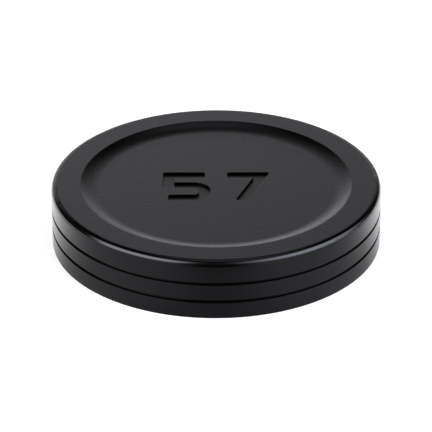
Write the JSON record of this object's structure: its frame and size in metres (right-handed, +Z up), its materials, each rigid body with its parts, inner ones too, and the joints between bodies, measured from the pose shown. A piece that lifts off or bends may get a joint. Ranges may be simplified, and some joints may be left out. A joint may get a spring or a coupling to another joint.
{
  "type": "push-on lens cap",
  "caption": "Low round metal cap that pushes over the outside of a camera lens barrel, with a dished top, fine grip grooves round its skirt and a felt lining.",
  "frame": {"origin": "centre of the mouth, on the plane that the rim of the skirt stands on", "axes": "+Z up through the roof along the turning axis, +X along the engraved number in reading direction"},
  "size_m": [0.061, 0.061, 0.0115],
  "materials": {
    "anodised_black": "turned aluminium, fine bead blast on top and satin on the side, dyed black anodise",
    "felt_black": "short pressed wool felt"
  },
  "bodies": {
    "root": {"cap_shell": "anodised_black", "felt_band": "felt_black"}
  },
  "joints": []
}
